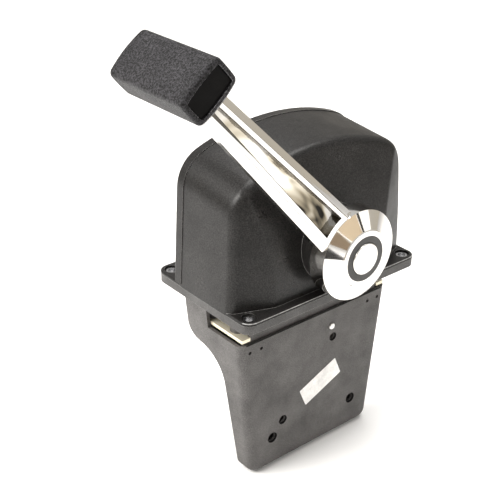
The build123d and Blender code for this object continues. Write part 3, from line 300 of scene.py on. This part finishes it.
print("helpers ready")

# %% [markdown]
# ## Moulded plastic
# Moulded plastic has a fine grain that breaks up its sheen, so a fine noise drives the bump and
# speckles the colour. A broad noise makes cloudy patches that are lighter or darker, and shinier
# or duller.

# %% Mix the plastics
GRAIN_DETAIL = 3.0
GRAIN_BAND = (0.40, 0.62)  # narrow, so that the grains have crisp edges
GRAIN_STRENGTH = 0.7
PALE_GRAIN = 1.6  # a pale grain differs by this much more than a dark one
CLOUD_SCALE = 34.0
CLOUD_DETAIL = 6.0
CLOUD_ROUGHNESS = 0.65
CLOUD_BAND = (0.35, 0.65)
CLOUD_SHADE = (0.75, 1.25)


def moulded(name, colour, roughness, grain, depth, speckle=0.3, sheen_spread=0.07, gloss=0.5):
    """Moulded plastic: speckled and faintly cloudy colour, grain in the bump, uneven sheen."""
    material, tree, shader = new_material(name)
    shader.inputs["Specular IOR Level"].default_value = gloss
    place = tree.nodes.new("ShaderNodeTexCoord").outputs["Object"]
    fine = noise(tree, place, grain, GRAIN_DETAIL)
    broad = noise(tree, place, CLOUD_SCALE, CLOUD_DETAIL, Roughness=CLOUD_ROUGHNESS)

    tint = tree.nodes.new("ShaderNodeMix")
    tint.data_type = "RGBA"
    dark_grain = [c * (1 - speckle) for c in colour] + [1]
    pale_grain = [min(1.0, c * (1 + PALE_GRAIN * speckle)) for c in colour] + [1]
    set_inputs(tint, {"A": dark_grain, "B": pale_grain})
    tree.links.new(ranged(tree, fine, GRAIN_BAND), tint.inputs["Factor"])
    shade = tree.nodes.new("ShaderNodeVectorMath")
    shade.operation = "SCALE"
    tree.links.new(tint.outputs["Result"], shade.inputs[0])
    tree.links.new(ranged(tree, broad, CLOUD_BAND, CLOUD_SHADE), shade.inputs["Scale"])
    tree.links.new(shade.outputs["Vector"], shader.inputs["Base Color"])

    sheen = (roughness + sheen_spread, roughness - sheen_spread)
    tree.links.new(ranged(tree, broad, CLOUD_BAND, sheen), shader.inputs["Roughness"])
    raise_by(tree, shader, fine, depth, GRAIN_STRENGTH)
    return material


finishes = {
    "cover_black": moulded(
        "satin_black_cover", (0.0125, 0.0117, 0.0113),
        roughness=0.34, grain=1300.0, depth=0.00008, speckle=0.6, gloss=0.25,
    ),
    "frame_black": moulded(
        "black_flange_plastic", (0.05, 0.048, 0.047), roughness=0.5, grain=1900.0, depth=0.00005
    ),
    "housing_grey": moulded(
        "dark_grey_housing", (0.076, 0.072, 0.070),
        roughness=0.6, grain=1500.0, depth=0.00008, speckle=0.25,
    ),
    "grip_charcoal": moulded(
        "charcoal_grip", (0.0155, 0.0148, 0.0165),
        roughness=0.5, grain=1000.0, depth=0.0012, speckle=0.95, sheen_spread=0.06, gloss=0.2,
    ),
    "plug_black": moulded(
        "black_end_plug", (0.002, 0.0018, 0.0018),
        roughness=0.6, grain=2600.0, depth=0.00003, gloss=0.1,
    ),
    "ring_grey": moulded(
        "dark_trim_ring", (0.03, 0.029, 0.028), roughness=0.4, grain=2600.0, depth=0.00002
    ),
    "seal_rubber": moulded(
        "seal_rubber", (0.015, 0.015, 0.015), roughness=0.7, grain=1800.0, depth=0.00005
    ),
}
print("plastics", sorted(finishes))

# %% [markdown]
# ## Painted edge highlights
# Four of the plastics have a paler and shinier partner for the faces along their edges. Its pale
# colour is a painted highlight: the thin line of light that a rounded edge catches. A second
# material on those faces follows the shape by itself.

# %% Mix the plastics for painted edge highlights
# Pale partners of the plastics: painted highlights for the faces along rounded edges.
painted_highlights = {
    "cover_black": moulded(
        "painted_highlight_cover_edge", (0.30, 0.295, 0.29), roughness=0.25, grain=900.0, depth=0.00002
    ),
    "frame_black": moulded(
        "painted_highlight_flange_edge", (0.26, 0.25, 0.245), roughness=0.3, grain=900.0, depth=0.00002
    ),
    "housing_grey": moulded(
        "painted_highlight_housing_edge", (0.24, 0.23, 0.225), roughness=0.4, grain=900.0, depth=0.00002
    ),
    "grip_charcoal": moulded(
        "painted_highlight_grip_edge", (0.10, 0.098, 0.104),
        roughness=0.35, grain=1000.0, depth=0.0012, speckle=0.95,
    ),
}
print("rubbed plastics", sorted(painted_highlights))

# %% [markdown]
# ## Metals
# Bare metal is never quite even. A noise shifts its roughness and bumps it a little. Its scale has
# one number for each axis, so a smaller number draws the noise out into streaks along that axis.
# With one even roughness the metal would look like paint.

# %% Mix the metals
MAPPED_SCALE = 1.0  # of a noise whose scale is set by the mapping in front of it
METAL_DETAIL = 5.0
METAL_STRENGTH = 0.3
SMOOTHEST = 0.02  # no metal gets a lower roughness than this


def metal(name, colour, roughness, streak, depth=0.00001, spread=0.06, metallic=1.0):
    """Bare metal: a noise, stretched by the streak scales, shifts its roughness and bumps it."""
    material, tree, shader = new_material(name)
    shader.inputs["Metallic"].default_value = metallic
    shader.inputs["Base Color"].default_value = (*colour, 1)
    place = tree.nodes.new("ShaderNodeTexCoord").outputs["Object"]
    stretch = tree.nodes.new("ShaderNodeMapping")
    stretch.inputs["Scale"].default_value = streak
    tree.links.new(place, stretch.inputs["Vector"])
    streaks = noise(tree, stretch.outputs["Vector"], MAPPED_SCALE, METAL_DETAIL)
    sheen = (max(SMOOTHEST, roughness - spread), roughness + spread)
    tree.links.new(ranged(tree, streaks, (0.0, 1.0), sheen), shader.inputs["Roughness"])
    raise_by(tree, shader, streaks, depth, METAL_STRENGTH)
    return material


METALS = {
    # slot: name, colour, roughness, scale of the noise along x, y and z
    "button_bright": ("bright_button", (0.88, 0.87, 0.84), 0.2, (900, 900, 900)),
    "bright_steel": ("bright_steel", (0.68, 0.67, 0.65), 0.28, (900, 900, 900)),
    "gear_steel": ("oiled_gear_steel", (0.42, 0.41, 0.4), 0.35, (900, 900, 900)),
    "spring_steel": ("spring_wire", (0.5, 0.5, 0.5), 0.3, (1500, 1500, 1500)),
    "bush_bronze": ("sintered_bronze", (0.5, 0.33, 0.17), 0.45, (1500, 1500, 1500)),
    "dark_screw": ("black_oxide", (0.05, 0.05, 0.052), 0.4, (1200, 1200, 1200)),
}
for slot, metal_values in METALS.items():
    finishes[slot] = metal(*metal_values)
finishes["polished_chrome"] = metal(
    "polished_chrome", (0.9, 0.88, 0.85), 0.06, (300, 300, 300), depth=0.000004, spread=0.03
)
finishes["zinc_plate"] = metal(
    "warm_zinc", (0.86, 0.79, 0.62), 0.45, (500, 60, 500), depth=0.00002, metallic=0.5
)
# Darker steel for the ear bushes, as painted shade in their counterbores.
counterbore_shade_steel = metal("painted_shade_bush_steel", (0.5, 0.5, 0.51), 0.25, (900, 900, 900))
print("finishes", len(finishes))

# %% [markdown]
# ## A finish for every CAD node
# The record names a material slot for each node. The bushes in the ears are darker than the other
# bright steel, as painted shade of the counterbores that they sit in.

# %% Give every CAD node its finish
for entry in frame["record"]["subparts"]:
    piece = nodes[entry["node"]]
    piece.data.materials.clear()
    piece.data.materials.append(finishes[entry["material_slot"]])
nodes["ear_bushes"].data.materials[0] = counterbore_shade_steel

# %% [markdown]
# ## Soft edges
# CAD leaves many edges knife sharp. On a real casting or moulding each edge has a small radius,
# and that radius is what catches a thin line of light. The edges could be rounded one by one in
# CAD, but a copy of the mesh with an angle-limited bevel does it for a whole piece at once. The
# copy is merged first, because a imported mesh is loose triangles, and its flat triangles are
# dissolved into whole faces. The new faces along the edges get the pale material of a painted
# highlight, where the piece has one.

# %% A copy with rounded edges
MERGE_WITHIN = 0.000005  # points this close are one point
FLAT_WITHIN = radians(0.3)  # triangles that turn less than this are one flat face
SHARPER_THAN = radians(28.0)  # an edge that turns more than this is rounded
EDGE_ROUNDS = 3
# A copy's second material is a painted highlight along its rounded edges.
PAINTED_HIGHLIGHT = 1  # the rubbed finish is a copy's second material


def select_only(piece):
    """Select one object and make it the active one."""
    bpy.ops.object.select_all(action="DESELECT")
    piece.select_set(True)
    bpy.context.view_layer.objects.active = piece


def merged_copy(node, name, finish):
    """A merged copy of a CAD piece, with whole faces, that stands for the piece."""
    source = nodes[node]
    select_only(source)
    bpy.ops.object.duplicate()
    piece = bpy.context.object
    del piece["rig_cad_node"]
    piece.name = name
    bpy.ops.mesh.customdata_custom_splitnormals_clear()
    bpy.ops.object.mode_set(mode="EDIT")
    bpy.ops.mesh.select_all(action="SELECT")
    bpy.ops.mesh.remove_doubles(threshold=MERGE_WITHIN)
    bpy.ops.mesh.dissolve_limited(angle_limit=FLAT_WITHIN)
    bpy.ops.object.mode_set(mode="OBJECT")
    piece.data.materials.clear()
    piece.data.materials.append(finishes[finish])
    # A piece with a painted edge highlight gets that pale material second.
    if finish in painted_highlights:
        piece.data.materials.append(painted_highlights[finish])
    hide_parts(node)
    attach(piece, source["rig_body"])
    return piece


def rounded(piece, width):
    """Give the sharp edges of a copy a small radius."""
    select_only(piece)
    bpy.ops.object.shade_smooth_by_angle(angle=SHARPER_THAN)
    bevel = piece.modifiers.new("soft_edges", "BEVEL")
    bevel.width = width
    bevel.segments = EDGE_ROUNDS
    bevel.limit_method = "ANGLE"
    bevel.angle_limit = SHARPER_THAN
    bevel.harden_normals = True
    # The bevel's new faces get the painted edge highlight.
    if len(piece.data.materials) > 1:
        bevel.material = PAINTED_HIGHLIGHT
    bpy.ops.object.modifier_apply(modifier="soft_edges")
    print(piece.name, len(piece.data.polygons), "faces")
    return piece


def softened(node, name, finish, width):
    """A copy of a CAD piece with rounded edges."""
    return rounded(merged_copy(node, name, finish), width)


# %% [markdown]
# ## The castings and mouldings
# Each piece gets the radius that its process leaves. A moulded hood has the widest, a polished
# casting less, and sheet metal the least.

# %% Round the castings and mouldings
lever_casting = softened("lever_arm", "lever_casting", "polished_chrome", width=0.0004)
hood = softened("dome_cover", "hood_moulding", "cover_black", width=0.0008)
softened("base_frame", "deck_frame_moulding", "frame_black", width=0.0007)
softened("rear_cover", "back_pan_moulding", "cover_black", width=0.0006)
handle = softened("grip", "grip_moulding", "grip_charcoal", width=0.0006)
softened("mounting_plate", "mounting_plate_sheet", "zinc_plate", width=0.0002)

# %% [markdown]
# ## The spring behind the button
# The neutral button is pressed in against a coil spring, which gets shorter as the button moves. A
# CAD piece is rigid, so a merged copy with smooth shading and a mesh of its own stands for it
# here.

# %% Copy the spring
WIRE_SMOOTH = radians(40)

coil = merged_copy("button_spring", "button_coil", "spring_steel")
bpy.ops.object.shade_smooth_by_angle(angle=WIRE_SMOOTH)
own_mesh(coil)

# %% [markdown]
# ## Directions of the arm
# The arm leans to the left from upright, in the pose of the photograph. The next steps pick faces
# by how far along and across the arm they lie, so both directions are set here, from the hub.

# %% Set the arm's directions
LEAN = radians(43.2)
HUB = Vector((0, 0, 0.041))
ALONG = Vector((-sin(LEAN), 0, cos(LEAN)))
ACROSS = Vector((cos(LEAN), 0, sin(LEAN)))
print("arm points along", [round(v, 3) for v in ALONG])

# %% [markdown]
# ## The flange's rim and the grip's shoulder
# Two more places get the pale painted highlight: the sloping rim of the flange where it faces the
# front, and the grip's shoulder, which faces the front and points down the arm. The rims round the
# four ear bushes stay black, without a painted highlight. The faces are there already, so they are
# picked by where they are and which way they look, and only their finish changes.

# %% Paint a highlight on the rim and the shoulder
# A copy's first material carries no painted highlight.
BARE = 0  # a copy's first material, which isn't rubbed
BUSH_HEAD_R = 0.0041
EAR_CLEAR = 0.0065  # faces this close to a bush's axis stay bare
TOUCH = 0.0001
RIM_HEIGHT = 0.0014
RIM_SLOPE = (0.45, 0.8)  # how far a face of the rim looks up
RIM_FACING = -0.2  # and to the front
SHOULDER_SLOPE = (-0.95, -0.3)  # how far a face of the shoulder looks down the arm
SHOULDER_FACING = -0.15  # and to the front

flange_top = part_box("rear_cover")[0].z
ears_low, ears_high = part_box("ear_bushes")
EAR_X = ears_high.x - BUSH_HEAD_R
EAR_YS = (ears_low.y + BUSH_HEAD_R, ears_high.y - BUSH_HEAD_R)


def by_an_ear(place):
    """Whether a point is near one of the four ear bushes."""
    aside = abs(place.x) - EAR_X
    ahead = min(abs(place.y - y) for y in EAR_YS)
    return aside**2 + ahead**2 < EAR_CLEAR**2


# Rim and shoulder faces get the painted highlight, and faces by the ear bushes lose it.
rim_faces = shoulder_faces = 0
for face in hood.data.polygons:
    place, normal = face.center, face.normal
    low = place.z < flange_top + TOUCH
    if low and by_an_ear(place) and face.material_index == PAINTED_HIGHLIGHT:
        face.material_index = BARE
    on_rim = flange_top - RIM_HEIGHT < place.z < flange_top
    if on_rim and RIM_SLOPE[0] < normal.z < RIM_SLOPE[1] and normal.y < RIM_FACING:
        face.material_index = PAINTED_HIGHLIGHT
        rim_faces += 1
for face in handle.data.polygons:
    slope = face.normal.dot(ALONG)
    if SHOULDER_SLOPE[0] < slope < SHOULDER_SLOPE[1] and face.normal.y < SHOULDER_FACING:
        face.material_index = PAINTED_HIGHLIGHT
        shoulder_faces += 1
print("rubbed rim faces", rim_faces, "rubbed shoulder faces", shoulder_faces)

# %% [markdown]
# ## The front of the lower housing
# The holes in the front of the housing have a wide chamfer, which gets the near-black plug
# material as painted shade inside the holes. Their rims are picked by their place on the front
# face and get a bevel weight, so that one modifier can cut them wide before another gives all
# edges their small radius. The small pin holes near the top corners get less, and the hole of the
# rivet gets none.

# %% Pick the rims of the holes
# The chamfers' near-black material is painted shade inside the holes.
HOLE_SHADE = 2  # the housing's third material, for its chamfers
SKIN = 0.00003  # a rim lies this close to the front face
FRONT_DEPTH = 0.002
FOOT_MARGIN = 0.012
FRONT_TOP_Z = -0.006
FRONT_HALF_WIDTH = 0.043
RIVET_CLEAR = 0.006
SQUARE_TURN = 0.5  # normals with a smaller dot product meet at a real corner
PIN_X = 0.029  # the pin holes are further out than this
PIN_Z = -0.06  # and higher than this
PIN_WEIGHT = 0.35

chute = merged_copy("lower_housing", "lower_housing_moulding", "housing_grey")
# The near-black plug material stands in for the shade inside the holes.
chute.data.materials.append(finishes["plug_black"])
low_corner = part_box("lower_housing")[0]
rivet_low, rivet_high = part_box("housing_rivet")
rivet_at = (rivet_low + rivet_high) / 2


def inside_front(place):
    """Whether a point is on the front face and away from its outline."""
    in_height = low_corner.z + FOOT_MARGIN < place.z < FRONT_TOP_Z
    return in_height and abs(place.x) < FRONT_HALF_WIDTH and place.y < low_corner.y + FRONT_DEPTH


sides = {}
for face in chute.data.polygons:
    for key in face.edge_keys:
        sides.setdefault(key, []).append(face.normal.copy())
weight = chute.data.attributes.new("bevel_weight_edge", "FLOAT", "EDGE")
rims = 0
for edge in chute.data.edges:
    first, second = (chute.data.vertices[i].co for i in edge.vertices)
    middle = (first + second) / 2
    flat = max(first.y, second.y) < low_corner.y + SKIN
    by_rivet = (middle - rivet_at).length < RIVET_CLEAR
    normals = sides[edge.key]
    corner = normals[0].dot(normals[-1]) < SQUARE_TURN
    if flat and corner and inside_front(middle) and not by_rivet:
        of_a_pin = abs(middle.x) > PIN_X and middle.z > PIN_Z
        weight.data[edge.index].value = PIN_WEIGHT if of_a_pin else 1.0
        rims += 1
print("rim edges", rims)

# %% [markdown]
# ## The chamfers
# The weighted rims are cut first, and then all sharp edges are rounded. The second bevel also
# rounds the chamfers, so the faces on the front that it gives the painted highlight go back to the
# near-black painted shade of the holes.

# %% Chamfer the holes and round the edges
CHAMFER = 0.001
CHAMFER_FACES = 1

cut = chute.modifiers.new("chamfer", "BEVEL")
cut.width = CHAMFER
cut.segments = CHAMFER_FACES
cut.limit_method = "WEIGHT"
cut.use_clamp_overlap = False
cut.material = HOLE_SHADE
bpy.ops.object.modifier_apply(modifier="chamfer")
rounded(chute, width=0.0005)
hole_shade_faces = 0
for face in chute.data.polygons:
    if face.material_index == PAINTED_HIGHLIGHT and inside_front(face.center):
        face.material_index = HOLE_SHADE
        hole_shade_faces += 1
print("dark faces", hole_shade_faces)

# %% [markdown]
# ## The channel of the lever
# Polishers can't reach the bottom of the lever's channel with a flat wheel, so its floor is wavy,
# and it mirrors the room in long blotches. The blotches' colours, from black through brown to
# pale, are painted reflections in the base colour. The blotches run along the arm, so their
# pattern is turned with it. A second pattern darkens both ends of the channel, near the hub and
# near the grip, as painted shade. Real waves could be sculpted, but a bump bends the reflections
# in the same way.

# %% Metal with painted reflections for the channel
# Painted reflections: the colours of the channel floor's blotches, from black to pale.
PAINTED_REFLECTION_COLOURS = (
    # how far up the noise a colour stands, and the colour
    (0.40, (0.02, 0.018, 0.015)),
    (0.455, (0.30, 0.26, 0.19)),
    (0.52, (0.62, 0.57, 0.47)),
    (0.60, (0.90, 0.88, 0.84)),
)
# Painted shade: the channel darkens towards the hub and towards the grip.
END_SHADE = (
    # how far along the channel a tint stands, and the tint
    (0.0, (0.4, 0.4, 0.4)),
    (0.34, (1.0, 1.0, 1.0)),
    (0.68, (1.0, 1.0, 1.0)),
    (1.0, (0.35, 0.33, 0.3)),
)
END_SHADE_REACH = (0.034, 0.188)  # where the channel starts and ends, from the hub
BLOTCH = (0.045, 0.016, 0.016)  # a blotch's size along the arm, through it and across it
WAVE_DETAIL = 2.0
WAVE_DISTORTION = 0.8
WAVE_STRENGTH = 1.0


def ramped(tree, value, stops):
    """A colour ramp over a value, with the stops at their positions."""
    node = tree.nodes.new("ShaderNodeValToRGB")
    ramp = node.color_ramp
    while len(ramp.elements) < len(stops):
        ramp.elements.new(1.0)
    for element, (position, colour) in zip(ramp.elements, stops):
        element.position = position
        element.color = (*colour, 1)
    tree.links.new(value, node.inputs["Fac"])
    return node.outputs["Color"]


def painted_reflection_metal(name, roughness, height):
    """Polished metal whose painted reflection colours and bump follow blotches that are long in
    the arm's direction, with painted shade at both ends of the channel.
    """
    material, tree, shader = new_material(name)
    shader.inputs["Metallic"].default_value = 1.0
    shader.inputs["Roughness"].default_value = roughness
    place = tree.nodes.new("ShaderNodeTexCoord").outputs["Object"]
    turned = tree.nodes.new("ShaderNodeMapping")
    turned.vector_type = "TEXTURE"
    along_the_arm = (0, -(radians(90) + LEAN), 0)
    set_inputs(turned, {"Location": HUB, "Rotation": along_the_arm, "Scale": BLOTCH})
    tree.links.new(place, turned.inputs["Vector"])
    blotches = turned.outputs["Vector"]
    waves = noise(tree, blotches, MAPPED_SCALE, WAVE_DETAIL, Distortion=WAVE_DISTORTION)
    reach = tree.nodes.new("ShaderNodeSeparateXYZ")
    tree.links.new(blotches, reach.inputs["Vector"])
    ends = [distance / BLOTCH[0] for distance in END_SHADE_REACH]
    share = ranged(tree, reach.outputs["X"], ends)
    shade = tree.nodes.new("ShaderNodeVectorMath")
    shade.operation = "MULTIPLY"
    tree.links.new(ramped(tree, waves, PAINTED_REFLECTION_COLOURS), shade.inputs[0])
    tree.links.new(ramped(tree, share, END_SHADE), shade.inputs[1])
    tree.links.new(shade.outputs["Vector"], shader.inputs["Base Color"])
    raise_by(tree, shader, waves, height, WAVE_STRENGTH)
    return material


floor_with_painted_reflections = painted_reflection_metal("channel_floor_painted_reflections", roughness=0.08, height=0.002)
# A dark metal whose colour is a painted reflection, for thin lines along the channel's edges.
painted_dark_reflection = metal("painted_dark_edge_reflection", (0.10, 0.09, 0.08), 0.22, (300, 300, 300))
lever_casting.data.materials.append(floor_with_painted_reflections)
lever_casting.data.materials.append(painted_dark_reflection)
print("lever materials", len(lever_casting.data.materials))

# %% [markdown]
# ## Where the painted reflections go
# The channel's walls and the rounded outer edges of the two ridges get thin dark lines, painted
# reflections of a dark room. The floor and these edges are found on the casting by the way that
# their faces point.

# %% Find the channel's floor and the edge lines
PAINTED_REFLECTION_FLOOR = 1  # the casting's second material
DARK_REFLECTION = 2  # and its third
CHANNEL_REACH = (0.033, 0.19)  # faces nearer the hub or further out are left alone
FLOOR_DEPTH = (-0.0638, -0.0628)  # where the channel's floor lies in y
FLOOR_FACING = -0.98  # the floor looks straight to the front
INNER_FACING = 0.2  # a wall looks inwards, and not to the back
RIDGE_FACING = (-0.985, -0.86)  # a ridge's outer edge looks to the front, slightly turned

floor_faces = dark_reflection_faces = 0
for face in lever_casting.data.polygons:
    out = face.center - HUB
    reach = out.dot(ALONG)
    if reach < CHANNEL_REACH[0] or reach > CHANNEL_REACH[1]:
        continue
    outwards = out.dot(ACROSS) * face.normal.dot(ACROSS)
    facing = face.normal.y
    if facing < FLOOR_FACING and FLOOR_DEPTH[0] < face.center.y < FLOOR_DEPTH[1]:
        face.material_index = PAINTED_REFLECTION_FLOOR
        floor_faces += 1
    elif outwards < 0 and facing < INNER_FACING:
        face.material_index = DARK_REFLECTION
        dark_reflection_faces += 1
    elif outwards > 0 and RIDGE_FACING[0] < facing < RIDGE_FACING[1]:
        face.material_index = DARK_REFLECTION
        dark_reflection_faces += 1
print("channel floor faces", floor_faces, "edge line faces", dark_reflection_faces)

# %% [markdown]
# ## The blank label
# A small vinyl label sits askew on the lower housing. A plane is laid on the front face at the
# label's size and turn, its corners are rounded, and it is pulled out by a tenth of a millimetre.
# It carries no print, only the slight waviness of vinyl that was pressed on by hand.

# %% Stick the label on
LABEL_CENTRE = Vector((0.0065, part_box("lower_housing")[0].y, -0.0815))
LABEL_WIDTH = 0.0376
LABEL_HEIGHT = 0.0162
LABEL_TURN = radians(-23.5)
LABEL_CORNER_R = 0.0009
LABEL_CORNER_ROUNDS = 4
LABEL_THICK = 0.00013
LABEL_EDGE = 0.00005
LABEL_EDGE_ROUNDS = 2

bpy.ops.object.select_all(action="DESELECT")
askew = (radians(90), LABEL_TURN, 0)
bpy.ops.mesh.primitive_plane_add(size=1.0, location=LABEL_CENTRE, rotation=askew)
label = bpy.context.object
label.name = "blank_label"
label.scale = (LABEL_WIDTH, LABEL_HEIGHT, 1)
bpy.ops.object.transform_apply(location=True, rotation=True, scale=True)
bpy.ops.object.mode_set(mode="EDIT")
bpy.ops.mesh.select_all(action="SELECT")
bpy.ops.mesh.bevel(offset=LABEL_CORNER_R, segments=LABEL_CORNER_ROUNDS, affect="VERTICES")
bpy.ops.mesh.select_all(action="SELECT")
bpy.ops.mesh.extrude_region_move(TRANSFORM_OT_translate={"value": (0, -LABEL_THICK, 0)})
bpy.ops.mesh.select_all(action="SELECT")
bpy.ops.mesh.normals_make_consistent(inside=False)
bpy.ops.object.mode_set(mode="OBJECT")
rim = label.modifiers.new("rim", "BEVEL")
rim.width = LABEL_EDGE
rim.segments = LABEL_EDGE_ROUNDS
bpy.ops.object.modifier_apply(modifier="rim")
vinyl = moulded(
    "white_vinyl", (0.86, 0.85, 0.83),
    roughness=0.42, grain=700.0, depth=0.00006, speckle=0.03, sheen_spread=0.05,
)
label.data.materials.append(vinyl)
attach(label, "housing")
print("label faces", len(label.data.polygons))

# %% Finish
bpy.context.scene.view_settings.view_transform = "Standard"
